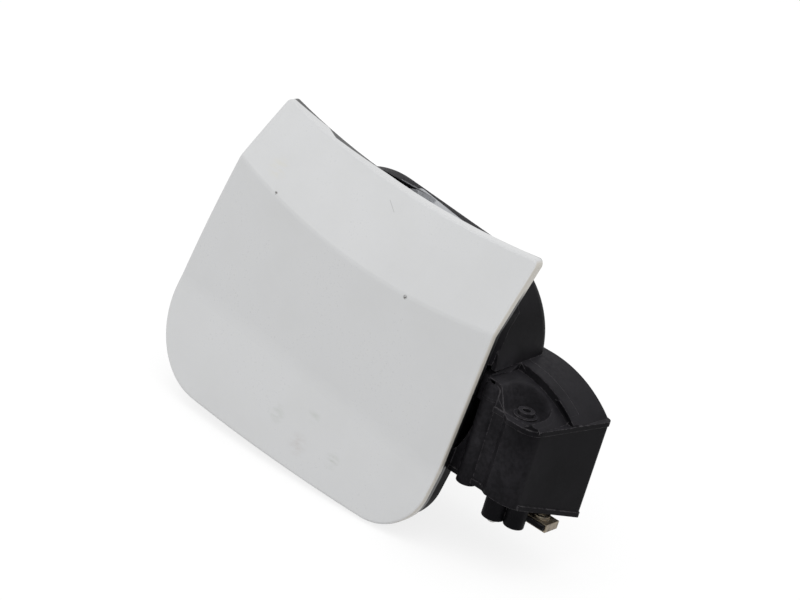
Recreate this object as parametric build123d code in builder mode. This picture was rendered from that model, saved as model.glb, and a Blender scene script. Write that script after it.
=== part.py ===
"""Car fuel door: a painted flap on a gooseneck hinge, closed over a moulded filler housing."""

import os
from math import radians, tan

from build123d import *

os.makedirs("parts", exist_ok=True)

# Frame: X towards the hinge, Y into the car, Z up, origin in the neck seal at the pot floor

# Panel surface
PANEL_Y = -60.0  # outer surface on the neck axis
PANEL_LEAN = 5.0  # lean of the body side, degrees
PANEL_BOW = 900.0  # bow radius along the car
PANEL_TWIST = 0.0004  # lean change along the car, per mm
TOP_LEAN = 16.0  # extra lean above the ridge, degrees
MID_LEAN = 5.0  # undercut between ridge and valley, degrees
LOW_LEAN = 6.0  # lean of the zone under the valley, degrees
RIDGE_Z = 26.0
RIDGE_LOW_X = 25.0
RIDGE_CURVE = 0.00126
RIDGE_R = 6.0
VALLEY_Z = -37.0
VALLEY_SLOPE = 0.11
VALLEY_CURVE = 0.0006
VALLEY_R = 40.0
PANEL_STATIONS = (-125.0, -60.0, 0.0, 60.0, 135.0)
PANEL_TOP = 100.0
PANEL_BOTTOM = -105.0
REACH = 150.0  # depth that clears the whole part

# Flap outline, corners before rounding
TOP_FREE = (-80.0, 76.0)
TOP_HINGE = (83.0, 66.0)
LOW_HINGE = (68.0, -84.3)
LOW_FREE = (-115.0, -77.0)
TOP_SAG = 6.0
FREE_BULGE = 3.5
TOP_R = 3.0
LOW_HINGE_R = 26.0
LOW_FREE_R = 40.0

# Skin
SKIN = 2.5
RIM_DEPTH = 5.0
RIM_ROUND = 1.2
STUD_R = 2.5
STUD_TAIL = 2.0
STUD_PLACES = ((-44.0, 14.0), (46.0, 10.0), (-44.0, -26.0), (46.0, -25.0))

# Moulded walls
WALL = 2.5
DRAFT = 4.0  # degrees
LIP_GAP = 1.3  # lip behind the rim of the skin
LIP_INSET = 1.2
LIP_DROP = 7.5  # lip under the top edge of the skin
LIP_CORNER = 24.0  # cut corner of the lip
CREST_X = -37.0  # short stretch of higher lip
CREST_W = 38.0
CREST_DROP = 3.2
FLANGE = 11.0  # flange behind the outer surface

# Pot
POT_X = 2.5
POT_W = 147.0
POT_LOW = -57.0
POT_HIGH = 52.0  # in the middle of the pot
POT_FALL = 6.0  # top falls towards the hinge, degrees
POT_R = 43.0
POT_ROUND = 8.0
NECK_HOLE_R = 36.0

# Neck seal
NECK_R = 29.0
SEAL_LIP = 2.5
SEAL_LENGTH = 10.0
SEAL_GRIP = 3.0

# Hinge
PIN_X = 97.0
PIN_Y = -37.0
PIN_R = 2.0
RUN_FIT = 0.05
BUSH_WALL = 1.0
BARREL_R = 4.6
BUSH_L = 11.0
ARM_CLEAR = 0.6
ARM_WEB = 3.0
ARM_RIB = 7.0
ARM_RIB_T = 3.0
ARM_BEND = 8.0
ARM_X = 60.5
ARM_DEPTH = 34.0  # bend behind the pin

# Hinge pocket
POCKET_TOP = -6.0
POCKET_FLOOR = -48.0  # under the pin
POCKET_FALL = 13.5  # floor falls inboard, degrees
POCKET_FRONT = 3.4  # clear in front of the barrel
POCKET_NEAR = 12.5  # front corner beyond the pin
POCKET_FAR = 21.3  # back corner beyond the pin
POCKET_BACK = 5.0
POCKET_LEFT = 44.0
POCKET_NEAR_R = 8.0
POCKET_FAR_R = 3.0
NECK_CLEAR = 1.0  # neck wall in front of the open arm
STEP_X = -2.0  # front of the box, from the pin
STEP_RUN = 4.0
NECK_ROLL_X = 80.5
NECK_ROLL_R = 5.0
MOUTH_LEFT = 45.5  # way out for the arm
MOUTH_RIGHT = 69.5
EAR_STEP = 0.5
BAND_Y = -22.0
BAND_TOP = 9.0
BAND_FLAT = 76.0
BAND_END = -9.0
BAND_STEP = 3.5
SPOT_R = 6.5  # flat around the pin boss
SPOT_FLARE = 50.0
BOSS_R = 4.0
BOSS_H = 3.2
COLLAR_R = 5.6
COLLAR_H = 1.0
LOW_BOSS = 10.5  # boss under the floor
PIN_SINK = 2.0
PIN_TAIL = 2.4

# Fixing tabs and drains
TAB_X = 111.0
TAB_SPACING = 170.0
TAB_Y = -18.0
TAB_TOP = -56.4
TAB_W = 12.0
TAB_POST = 9.0  # post behind the screw hole
TAB_END = 6.0  # tab past the screw hole
TAB_HOLE_R = 2.6
TAB_ROOT = 12.0  # post into the wall above
NUT_T = 0.8
NUT_W = 10.0
NUT_TAIL = 5.0
NUT_COLLAR_R = 4.0
NUT_COLLAR_H = 1.4
DRAIN_X = 16.0
DRAIN_R = 5.0
DRAIN_BORE_R = 3.0
DRAIN_LENGTH = 14.0
DRAIN_SEAT = 3.5  # flat seat of the hose under the pot
DRAIN_SEAT_R = 7.5
PEG_X = 107.0
PEG_Y = -34.0
PEG_R = 5.0
PEG_LOW = -58.5
LUG_X = -13.0
LUG_W = 24.0
LUG_Y = -26.0
LUG_LENGTH = 15.0
LUG_H = 5.5

# Lock bolt
LOCK_Y = -26.5
LOCK_Z = -5.0
LOCK_R = 5.0
GUIDE_WALL = 3.0
GUIDE_FLANGE = 3.0
GUIDE_FLANGE_T = 2.0
LOCK_SEAL_T = 1.5
LOCK_FACE = -79.0
LOCK_INSIDE = -68.0

# Carrier
TRAY_GAP = 0.3
TRAY = 2.5
TRAY_RIM = 12.0
TRAY_RIB = 6.0
TRAY_RIB_T = 2.0
TRAY_W = 129.0
TRAY_H = 103.0
TRAY_X = -1.5
TRAY_Z = -3.5
TRAY_R = 42.0
RIB_COLUMNS = (-28.0, 4.0, 36.0)
RIB_ROW = -7.0
PAD_R = 7.0
PAD_H = 2.0
WASHER_R = 6.0
WASHER_T = 0.8

# Striker and cap holder
STRIKER_X = -54.0
STRIKER_T = 3.0
STRIKER_W = 18.0
EYE_MARGIN = 5.0
EYE_PLAY = 1.0
FOOT_L = 14.0
FOOT_T = 2.5
SCREW_R = 1.6
SCREW_HEAD_R = 3.2
SCREW_HEAD = 1.8
HOOK_X = 20.0
HOOK_Z = -24.0
HOOK_W = 16.0
HOOK_T = 3.0
HOOK_REACH = 13.0
HOOK_RISE = 12.0

# Buffers and stop
BUFFER_R = 4.0
BUFFER_STEM_R = 2.0
BUFFER_GAP = 0.3
BUFFER_TAIL = 3.0
BUFFER_PLACES = ((-86.0, 18.0), (-92.0, -28.0))
STOP_W = 10.0
STOP_H = 12.0
STOP_GAP = 0.5

# Leaf spring
LEAF_T = 0.6
LEAF_W = 12.0
LEAF_GAP = 0.3
LEAF_START = -1.5  # along the barrel, from the pin
LEAF_KNEE = 4.0
LEAF_REST = 17.0
LEAF_END = 25.0
LEAF_BEND = 3.0
LEAF_STAND = 3.3  # centre line inside the outer face of the pocket

# Derived places
LIP_FRONT = RIM_DEPTH + LIP_GAP
BUSH_R = PIN_R + RUN_FIT + BUSH_WALL
FRONT_IN = PIN_Y - BARREL_R - POCKET_FRONT
FRONT_OUT = FRONT_IN - WALL
NECK_FRONT = PIN_Y - ARM_RIB / 2 - NECK_CLEAR - WALL
FLOOR_RISE = tan(radians(POCKET_FALL)) * (PIN_Y - FRONT_OUT)
ARM_LOW = POCKET_FLOOR + FLOOR_RISE + WALL + ARM_CLEAR
ARM_HIGH = POCKET_TOP - WALL - ARM_CLEAR
ARM_H = ARM_HIGH - ARM_LOW
ARM_MID = (ARM_LOW + ARM_HIGH) / 2
BOSS_LOW = POCKET_FLOOR - LOW_BOSS
TAB_LOW = TAB_TOP - WALL
TAB_SIDES = ((TAB_X, 1), (TAB_X - TAB_SPACING, -1))
FLOOR_IN = Plane.XZ
FLOOR_OUT = Plane.XZ.offset(-WALL)
TRAY_FRONT = SKIN + TRAY_GAP
TRAY_BACK = TRAY_FRONT + TRAY
PAD_FACE = TRAY_BACK + PAD_H
STRIKER_SCREWS = [(STRIKER_X + FOOT_L / 2, LOCK_Z + side * STRIKER_W / 3) for side in (1, -1)]
HOOK_SCREWS = [(HOOK_X + side * HOOK_W / 3, HOOK_Z + FOOT_L / 2) for side in (1, -1)]


def ridge_z(x):
    return RIDGE_Z + RIDGE_CURVE * (x - RIDGE_LOW_X) ** 2


def valley_z(x):
    return VALLEY_Z - VALLEY_SLOPE * x - VALLEY_CURVE * x * x


def panel_y(x, z):
    high = max(z - ridge_z(x), 0)
    middle = ridge_z(x) - min(max(z, valley_z(x)), ridge_z(x))
    low = max(valley_z(x) - z, 0)
    y = PANEL_Y + tan(radians(PANEL_LEAN)) * z + x * x / (2 * PANEL_BOW) - PANEL_TWIST * x * z
    y += tan(radians(TOP_LEAN)) * high + tan(radians(MID_LEAN)) * middle
    return y - tan(radians(LOW_LEAN)) * low


def pot_top(x):
    return POT_HIGH - tan(radians(POT_FALL)) * (x - POT_X)


def pocket_floor(y):
    return POCKET_FLOOR - tan(radians(POCKET_FALL)) * (y - PIN_Y)


def pocket_wall(y):
    share = (y - FRONT_OUT) / (POCKET_BACK - FRONT_OUT)
    return PIN_X + POCKET_NEAR + share * (POCKET_FAR - POCKET_NEAR)


def behind(depth):
    return body_side.part.moved(Location((0, depth, 0)))


STRIKER_FACE = panel_y(STRIKER_X, LOCK_Z) + PAD_FACE
HOOK_FACE = panel_y(HOOK_X, HOOK_Z) + PAD_FACE

# Everything inboard of the outer surface
with BuildPart() as body_side:
    for station in PANEL_STATIONS:
        heights = (PANEL_TOP, ridge_z(station), valley_z(station), PANEL_BOTTOM)
        with BuildSketch(Plane.YZ.offset(station)):
            with BuildLine():
                profile = FilletPolyline(
                    *[(panel_y(station, z), z) for z in heights], radius=(RIDGE_R, VALLEY_R)
                )
                Polyline(profile @ 1, (REACH, PANEL_BOTTOM), (REACH, PANEL_TOP), profile @ 0)
            make_face()
    loft()

# Flap outline seen from outside
with BuildSketch(Plane.XZ) as outline:
    with BuildLine():
        SagittaArc(TOP_FREE, TOP_HINGE, -TOP_SAG)
        Line(TOP_HINGE, LOW_HINGE)
        Line(LOW_HINGE, LOW_FREE)
        SagittaArc(LOW_FREE, TOP_FREE, FREE_BULGE)
    make_face()
    fillet(outline.vertices().sort_by(Axis.Y)[0], radius=LOW_HINGE_R)
    fillet(outline.vertices().sort_by(Axis.X)[0], radius=LOW_FREE_R)
    fillet(outline.vertices().sort_by(Axis.Y)[-1], radius=TOP_R)
    fillet(outline.vertices().sort_by(Axis.X)[-1], radius=TOP_R)

with BuildSketch(Plane.XZ) as skin_inside:
    add(outline.sketch_local)
    offset(amount=-SKIN, mode=Mode.REPLACE)

with BuildSketch(Plane.XZ) as lip_outside:
    add(outline.sketch_local)
    with Locations((CREST_X, TOP_FREE[1] / 2 - CREST_DROP)):
        Rectangle(CREST_W, TOP_FREE[1], mode=Mode.INTERSECT)
    add(outline.sketch_local.moved(Location((0, -CREST_DROP))), mode=Mode.INTERSECT)
    add(outline.sketch_local.moved(Location((0, -LIP_DROP))))
    add(outline.sketch_local, mode=Mode.INTERSECT)
    with BuildLine():
        Polyline(
            (TOP_HINGE[0] - LIP_CORNER, TOP_HINGE[1]),
            TOP_HINGE,
            (TOP_HINGE[0], TOP_HINGE[1] - LIP_DROP - LIP_CORNER),
            close=True,
        )
    make_face(mode=Mode.SUBTRACT)
    offset(amount=-LIP_INSET, mode=Mode.REPLACE)

with BuildSketch(Plane.XZ) as lip_inside:
    add(lip_outside.sketch_local)
    offset(amount=-WALL, mode=Mode.REPLACE)

# Painted skin
with BuildPart() as skin_void:
    extrude(skin_inside.sketch, amount=REACH, both=True)
    add(behind(SKIN), mode=Mode.INTERSECT)

with BuildPart() as outer_skin:
    extrude(outline.sketch, amount=REACH, both=True)
    add(body_side.part, mode=Mode.INTERSECT)
    add(behind(RIM_DEPTH), mode=Mode.SUBTRACT)
    add(skin_void.part, mode=Mode.SUBTRACT)
    front_edges = outer_skin.faces().filter_by(lambda f: f.normal_at().Y < -0.7).edges()
    side_edges = outer_skin.faces().filter_by(lambda f: abs(f.normal_at().Y) < 0.02).edges()
    fillet([e for e in front_edges if any(e.is_same(s) for s in side_edges)], radius=RIM_ROUND)
    # Moulded pins
    for x, z in STUD_PLACES:
        with BuildSketch(Plane.XZ.offset(-panel_y(x, z) - PAD_FACE - STUD_TAIL)):
            with Locations((x, z)):
                Circle(STUD_R)
        extrude(amount=PAD_FACE + STUD_TAIL - SKIN / 2)
outer_skin.part.label = "outer_skin"
export_step(outer_skin.part, "parts/outer_skin.step")

# Pot without its opening
with BuildSketch(Plane.XZ) as pot_plan:
    with BuildLine():
        Polyline(
            (POT_X - POT_W / 2, POT_LOW),
            (POT_X + POT_W / 2, POT_LOW),
            (POT_X + POT_W / 2, pot_top(POT_X + POT_W / 2)),
            (POT_X - POT_W / 2, pot_top(POT_X - POT_W / 2)),
            close=True,
        )
    make_face()
    fillet(pot_plan.vertices(), radius=POT_R)

with BuildSketch(Plane.XZ) as pot_hollow:
    with BuildLine():
        Polyline(
            (POT_X - POT_W / 2 + WALL, POT_LOW + WALL),
            (POT_X + POT_W / 2 - WALL, POT_LOW + WALL),
            (POT_X + POT_W / 2 - WALL, pot_top(POT_X + POT_W / 2 - WALL) - WALL),
            (POT_X - POT_W / 2 + WALL, pot_top(POT_X - POT_W / 2 + WALL) - WALL),
            close=True,
        )
    make_face()
    fillet(pot_hollow.vertices(), radius=POT_R - WALL)

with BuildPart() as pot_body:
    with BuildSketch(FLOOR_OUT):
        add(pot_plan.sketch_local)
    extrude(amount=-PANEL_Y, taper=-DRAFT)
    fillet(pot_body.faces().sort_by(Axis.Y)[-1].edges(), radius=POT_ROUND)
    add(behind(FLANGE), mode=Mode.INTERSECT)

with BuildPart() as pot_void:
    with BuildSketch(FLOOR_IN):
        add(pot_hollow.sketch_local)
    extrude(amount=-PANEL_Y, taper=-DRAFT)
    fillet(pot_void.faces().sort_by(Axis.Y)[-1].edges(), radius=POT_ROUND - WALL)

# Flange with its lip, following the surface of the flap
with BuildPart() as lip_void:
    extrude(lip_inside.sketch, amount=REACH, both=True)
    add(behind(FLANGE), mode=Mode.SUBTRACT)

with BuildPart() as flange:
    extrude(lip_outside.sketch, amount=REACH, both=True)
    add(behind(LIP_FRONT), mode=Mode.INTERSECT)
    add(behind(FLANGE + WALL), mode=Mode.SUBTRACT)
    add(lip_void.part, mode=Mode.SUBTRACT)

# Hinge pocket
with BuildSketch(Plane.XY) as pocket_plan:
    with BuildLine():
        Polyline(
            (POCKET_LEFT, NECK_FRONT),
            (PIN_X + STEP_X - STEP_RUN, NECK_FRONT),
            (PIN_X + STEP_X, FRONT_OUT),
            (PIN_X + POCKET_NEAR, FRONT_OUT),
            (PIN_X + POCKET_FAR, POCKET_BACK),
            (POCKET_LEFT, POCKET_BACK),
            close=True,
        )
    make_face()
    fillet(pocket_plan.vertices().group_by(Axis.X)[-1], radius=POCKET_FAR_R)
    fillet(pocket_plan.vertices().group_by(Axis.Y)[0].sort_by(Axis.X)[-1], radius=POCKET_NEAR_R)

with BuildSketch(Plane.XY) as pocket_inside:
    add(pocket_plan.sketch_local)
    offset(amount=-WALL, mode=Mode.REPLACE)

with BuildSketch(Plane.XZ) as band_profile:
    with BuildLine():
        crest = Line((POCKET_LEFT, BAND_TOP), (BAND_FLAT, BAND_TOP))
        fall = TangentArc(crest @ 1, (PIN_X + POCKET_FAR, BAND_END), tangent=(1, 0))
        Polyline(fall @ 1, (PIN_X + POCKET_FAR, ARM_MID), (POCKET_LEFT, ARM_MID), crest @ 0)
    make_face()

with BuildSketch(Plane.XZ) as band_inside:
    add(band_profile.sketch_local)
    offset(amount=-WALL, mode=Mode.REPLACE)

# Band at the back and the lower step in front of it
with BuildPart() as band:
    with BuildSketch(Plane.XZ.offset(-POCKET_BACK)):
        add(band_profile.sketch_local)
    extrude(amount=POCKET_BACK - BAND_Y)
    with BuildSketch(Plane.XZ.offset(-BAND_Y)):
        add(band_profile.sketch_local.moved(Location((0, -BAND_STEP))))
    extrude(amount=BAND_Y - FRONT_OUT)
    extrude(pocket_plan.sketch, amount=REACH, both=True, mode=Mode.INTERSECT)

with BuildSketch(Plane.XY.offset(POCKET_TOP)) as spot:
    with Locations((PIN_X, PIN_Y)):
        Circle(SPOT_R)
    with Locations((PIN_X, (PIN_Y + PANEL_Y) / 2)):
        Rectangle(2 * SPOT_R, PIN_Y - PANEL_Y)

with BuildPart() as spot_floor:
    with BuildSketch(Plane.XY.offset(POCKET_TOP - WALL)):
        add(spot.sketch_local)
        offset(amount=WALL, mode=Mode.REPLACE)
    extrude(amount=BAND_TOP - POCKET_TOP + WALL, taper=-SPOT_FLARE)

with BuildPart() as band_void:
    with BuildSketch(Plane.XZ.offset(-BAND_Y - WALL)):
        add(band_inside.sketch_local.moved(Location((0, -BAND_STEP))))
    extrude(amount=BAND_Y + WALL - FRONT_IN)
    add(spot_floor.part, mode=Mode.SUBTRACT)
    with BuildSketch(Plane.XZ.offset(-POCKET_BACK + WALL)):
        add(band_inside.sketch_local)
    extrude(amount=POCKET_BACK - BAND_Y - 2 * WALL)
    extrude(pocket_inside.sketch, amount=REACH, both=True, mode=Mode.INTERSECT)

with BuildPart() as pocket_body:
    extrude(pocket_plan.sketch, amount=REACH, both=True)
    with BuildSketch(Plane.YZ):
        with BuildLine():
            Polyline(
                (FRONT_OUT, pocket_floor(FRONT_OUT)),
                (POCKET_BACK, pocket_floor(POCKET_BACK)),
                (POCKET_BACK, POCKET_TOP),
                (FRONT_OUT, POCKET_TOP),
                close=True,
            )
        make_face()
    extrude(amount=REACH, mode=Mode.INTERSECT)

with BuildSketch(Plane.XY) as ear_plan:
    add(pocket_plan.sketch_local)
    offset(amount=EAR_STEP, mode=Mode.REPLACE)

with BuildPart() as low_ear:
    extrude(ear_plan.sketch, amount=REACH, both=True)
    with BuildSketch(Plane.YZ):
        with BuildLine():
            Polyline(
                (FRONT_OUT - EAR_STEP, pocket_floor(FRONT_OUT - EAR_STEP)),
                (POCKET_BACK + EAR_STEP, pocket_floor(POCKET_BACK + EAR_STEP)),
                (POCKET_BACK + EAR_STEP, pocket_floor(POCKET_BACK + EAR_STEP) + WALL),
                (FRONT_OUT - EAR_STEP, pocket_floor(FRONT_OUT - EAR_STEP) + WALL),
                close=True,
            )
        make_face()
    extrude(amount=REACH, mode=Mode.INTERSECT)
    add(behind(LIP_FRONT), mode=Mode.INTERSECT)

with BuildPart() as pocket_void:
    with BuildSketch(Plane.XY):
        add(pocket_inside.sketch_local)
        with BuildLine():
            Polyline(
                (MOUTH_LEFT, PANEL_Y),
                (MOUTH_RIGHT, PANEL_Y),
                (MOUTH_RIGHT, POCKET_BACK - WALL),
                (MOUTH_LEFT, POCKET_BACK - WALL),
                close=True,
            )
        make_face()
    extrude(amount=REACH, both=True)
    with BuildSketch(Plane.YZ):
        with BuildLine():
            Polyline(
                (PANEL_Y, pocket_floor(PANEL_Y) + WALL),
                (POCKET_BACK, pocket_floor(POCKET_BACK) + WALL),
                (POCKET_BACK, POCKET_TOP - WALL),
                (PANEL_Y, POCKET_TOP - WALL),
                close=True,
            )
        make_face()
    extrude(amount=REACH, mode=Mode.INTERSECT)
    add(band_void.part)

# Housing, one moulding
with BuildPart() as housing:
    add(pot_body.part)
    add(flange.part)
    add(pocket_body.part)
    add(low_ear.part)
    with BuildSketch(Plane.XY.offset(POCKET_TOP - WALL)):
        add(ear_plan.sketch_local)
    extrude(amount=WALL)
    add(band.part)
    with BuildSketch(Plane.XY.offset(POCKET_FLOOR)):
        with Locations((NECK_ROLL_X, NECK_FRONT + WALL)):
            Circle(NECK_ROLL_R)
    extrude(amount=POCKET_TOP - POCKET_FLOOR + BAND_STEP)
    extrude(spot.sketch, amount=BAND_TOP - POCKET_TOP, taper=-SPOT_FLARE, mode=Mode.SUBTRACT)
    # Hinge bosses
    with BuildSketch(Plane.XY.offset(POCKET_TOP)):
        with Locations((PIN_X, PIN_Y)):
            Circle(COLLAR_R)
    extrude(amount=COLLAR_H)
    with BuildSketch(Plane.XY.offset(POCKET_TOP)):
        with Locations((PIN_X, PIN_Y)):
            Circle(BOSS_R)
    extrude(amount=BOSS_H)
    with BuildSketch(Plane.XY.offset(BOSS_LOW)):
        with Locations((PIN_X, PIN_Y)):
            Circle(COLLAR_R)
    extrude(amount=LOW_BOSS)
    # Fixing tabs
    for hole_x, side in TAB_SIDES:
        with BuildSketch(Plane.XY.offset(TAB_LOW)):
            with Locations((hole_x + side * (TAB_END - TAB_POST) / 2, TAB_Y)):
                Rectangle(TAB_POST + TAB_END, TAB_W)
        extrude(amount=WALL)
        with BuildSketch(Plane.XY.offset(TAB_LOW)):
            with Locations((hole_x - side * (TAB_POST - WALL / 2), TAB_Y)):
                Rectangle(WALL, TAB_W)
        extrude(amount=WALL + TAB_ROOT)
    # Drain spout and locating peg
    with BuildSketch(Plane.XY.offset(POT_LOW - DRAIN_LENGTH)):
        with Locations((DRAIN_X, TAB_Y)):
            Circle(DRAIN_R)
    extrude(amount=DRAIN_LENGTH + WALL)
    with BuildSketch(Plane.XY.offset(POT_LOW - DRAIN_SEAT)):
        with Locations((DRAIN_X, TAB_Y)):
            Circle(DRAIN_SEAT_R)
    extrude(amount=DRAIN_SEAT + WALL)
    with BuildSketch(Plane.XY.offset(PEG_LOW)):
        with Locations((PEG_X, PEG_Y)):
            Circle(PEG_R)
    extrude(amount=POCKET_FLOOR - PEG_LOW)
    # Snap lugs
    with BuildSketch(Plane.YZ.offset(LUG_X)):
        for wall_z, side in ((pot_top(LUG_X), 1), (POT_LOW, -1)):
            with BuildLine():
                Polyline(
                    (LUG_Y, wall_z - side * WALL),
                    (LUG_Y, wall_z + side * (WALL + LUG_H)),
                    (LUG_Y + LUG_LENGTH, wall_z + side * WALL / 2),
                    (LUG_Y + LUG_LENGTH, wall_z - side * WALL),
                    close=True,
                )
            make_face()
    extrude(amount=LUG_W / 2, both=True)
    # Lock boss
    with BuildSketch(Plane.YZ.offset(LOCK_FACE)):
        with Locations((LOCK_Y, LOCK_Z)):
            Circle(LOCK_R + GUIDE_WALL + GUIDE_FLANGE)
    extrude(amount=LOCK_INSIDE - LOCK_FACE)
    # Hollows and holes
    with BuildSketch(Plane.YZ.offset(LOCK_FACE)):
        with Locations((LOCK_Y, LOCK_Z)):
            Circle(LOCK_R + GUIDE_WALL)
    extrude(amount=LOCK_INSIDE - LOCK_FACE, mode=Mode.SUBTRACT)
    add(pot_void.part, mode=Mode.SUBTRACT)
    add(pocket_void.part, mode=Mode.SUBTRACT)
    with BuildSketch(Plane.XY.offset(POCKET_FLOOR)):
        with Locations((PIN_X, PIN_Y)):
            Circle(BOSS_R)
    extrude(amount=ARM_LOW - ARM_CLEAR - POCKET_FLOOR)
    with BuildSketch(Plane.XY.offset(TAB_LOW)):
        for hole_x, side in TAB_SIDES:
            with Locations((hole_x, TAB_Y)):
                Circle(TAB_HOLE_R)
    extrude(amount=WALL, mode=Mode.SUBTRACT)
    with BuildSketch(Plane.XY.offset(POT_LOW - DRAIN_LENGTH)):
        with Locations((DRAIN_X, TAB_Y)):
            Circle(DRAIN_BORE_R)
    extrude(amount=DRAIN_LENGTH + 2 * WALL, mode=Mode.SUBTRACT)
    with BuildSketch(Plane.XY.offset(BOSS_LOW)):
        with Locations((PIN_X, PIN_Y)):
            Circle(PIN_R)
    extrude(amount=REACH, mode=Mode.SUBTRACT)
    with BuildSketch(FLOOR_OUT):
        Circle(NECK_HOLE_R)
    extrude(amount=WALL, mode=Mode.SUBTRACT)
    with BuildSketch(Plane.XZ):
        with Locations(*BUFFER_PLACES):
            Circle(BUFFER_STEM_R)
    extrude(amount=-PANEL_Y, mode=Mode.SUBTRACT)
housing.part.label = "housing"
export_step(housing.part, "parts/housing.step")

# Rubber seal around the filler neck
with BuildPart() as neck_seal:
    with BuildSketch(Plane.XY):
        with BuildLine():
            Polyline(
                (NECK_R, -SEAL_LENGTH / 2),
                (NECK_R + SEAL_LIP, -SEAL_LENGTH / 2),
                (NECK_R + SEAL_LIP, 0),
                (NECK_HOLE_R - SEAL_LIP, 0),
                (NECK_HOLE_R - SEAL_LIP, -SEAL_LIP),
                (NECK_HOLE_R + SEAL_GRIP, -SEAL_LIP),
                (NECK_HOLE_R + SEAL_GRIP, 0),
                (NECK_HOLE_R, 0),
                (NECK_HOLE_R, WALL),
                (NECK_HOLE_R + SEAL_GRIP, WALL),
                (NECK_HOLE_R + SEAL_GRIP, WALL + SEAL_LIP),
                (NECK_HOLE_R - SEAL_LIP, WALL + SEAL_LIP),
                (NECK_HOLE_R - SEAL_LIP, WALL),
                (NECK_R + SEAL_LIP, WALL),
                (NECK_R + SEAL_LIP, SEAL_LENGTH / 2),
                (NECK_R, SEAL_LENGTH / 2),
                close=True,
            )
        make_face()
    revolve(axis=Axis.Y)
neck_seal.part.label = "neck_seal"
export_step(neck_seal.part, "parts/neck_seal.step")

# Lock bolt guide and its rubber ring
with BuildPart() as lock_seal:
    with BuildSketch(Plane.YZ.offset(LOCK_FACE)):
        with Locations((LOCK_Y, LOCK_Z)):
            Circle(LOCK_R + GUIDE_WALL + GUIDE_FLANGE)
            Circle(LOCK_R + GUIDE_WALL, mode=Mode.SUBTRACT)
    extrude(amount=-LOCK_SEAL_T)
lock_seal.part.label = "lock_seal"
export_step(lock_seal.part, "parts/lock_seal.step")

with BuildPart() as lock_guide:
    with BuildSketch(Plane.YZ.offset(LOCK_FACE - LOCK_SEAL_T)):
        with Locations((LOCK_Y, LOCK_Z)):
            Circle(LOCK_R + GUIDE_WALL + GUIDE_FLANGE)
    extrude(amount=-GUIDE_FLANGE_T)
    with BuildSketch(Plane.YZ.offset(LOCK_FACE - LOCK_SEAL_T)):
        with Locations((LOCK_Y, LOCK_Z)):
            Circle(LOCK_R + GUIDE_WALL)
    extrude(amount=LOCK_INSIDE - LOCK_FACE + LOCK_SEAL_T)
    with BuildSketch(Plane.YZ.offset(LOCK_FACE - LOCK_SEAL_T - GUIDE_FLANGE_T)):
        with Locations((LOCK_Y, LOCK_Z)):
            Circle(LOCK_R)
    extrude(amount=REACH / 2, mode=Mode.SUBTRACT)
lock_guide.part.label = "lock_guide"
export_step(lock_guide.part, "parts/lock_guide.step")

# Rubber buffers on the flange, under the free edge of the flap
with BuildPart() as flap_buffers:
    with BuildSketch(Plane.XZ):
        with Locations(*BUFFER_PLACES):
            Circle(BUFFER_R)
    extrude(amount=REACH)
    add(behind(SKIN + BUFFER_GAP), mode=Mode.INTERSECT)
    add(behind(FLANGE), mode=Mode.SUBTRACT)
    for x, z in BUFFER_PLACES:
        with BuildSketch(Plane.XZ.offset(-panel_y(x, z) - FLANGE - WALL - BUFFER_TAIL)):
            with Locations((x, z)):
                Circle(BUFFER_STEM_R)
        extrude(amount=WALL + BUFFER_TAIL + WALL)
flap_buffers.part.label = "flap_buffers"
export_step(flap_buffers.part, "parts/flap_buffers.step")

# Zinc-yellow U nuts on the fixing tabs
with BuildPart() as spring_nuts:
    for hole_x, side in TAB_SIDES:
        with BuildSketch(Plane.XZ.offset(-TAB_Y)):
            with BuildLine():
                tail_x = hole_x - side * NUT_TAIL
                bend_x = hole_x + side * (TAB_END + NUT_T)
                Polyline(
                    (tail_x, TAB_TOP),
                    (tail_x, TAB_TOP + NUT_T),
                    (bend_x, TAB_TOP + NUT_T),
                    (bend_x, TAB_LOW - NUT_T),
                    (tail_x, TAB_LOW - NUT_T),
                    (tail_x, TAB_LOW),
                    (bend_x - side * NUT_T, TAB_LOW),
                    (bend_x - side * NUT_T, TAB_TOP),
                    close=True,
                )
            make_face()
        extrude(amount=NUT_W / 2, both=True)
        with BuildSketch(Plane.XY.offset(TAB_TOP + NUT_T)):
            with Locations((hole_x, TAB_Y)):
                Circle(NUT_COLLAR_R)
        extrude(amount=NUT_COLLAR_H)
        with BuildSketch(Plane.XY.offset(TAB_LOW - NUT_T)):
            with Locations((hole_x, TAB_Y)):
                Circle(TAB_HOLE_R)
        extrude(amount=WALL + 2 * NUT_T + NUT_COLLAR_H, mode=Mode.SUBTRACT)
spring_nuts.part.label = "spring_nuts"
export_step(spring_nuts.part, "parts/spring_nuts.step")

# Steel pin and its push-on washer
with BuildPart() as hinge_pin:
    with BuildSketch(Plane.XY.offset(BOSS_LOW - PIN_TAIL)):
        with Locations((PIN_X, PIN_Y)):
            Circle(PIN_R)
    extrude(amount=POCKET_TOP + BOSS_H - PIN_SINK - BOSS_LOW + PIN_TAIL)
hinge_pin.part.label = "hinge_pin"
export_step(hinge_pin.part, "parts/hinge_pin.step")

with BuildPart() as pin_retainer:
    with BuildSketch(Plane.XY.offset(BOSS_LOW)):
        with Locations((PIN_X, PIN_Y)):
            Circle(BOSS_R)
            Circle(PIN_R, mode=Mode.SUBTRACT)
    extrude(amount=-WASHER_T)
pin_retainer.part.label = "pin_retainer"
export_step(pin_retainer.part, "parts/pin_retainer.step")

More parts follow.
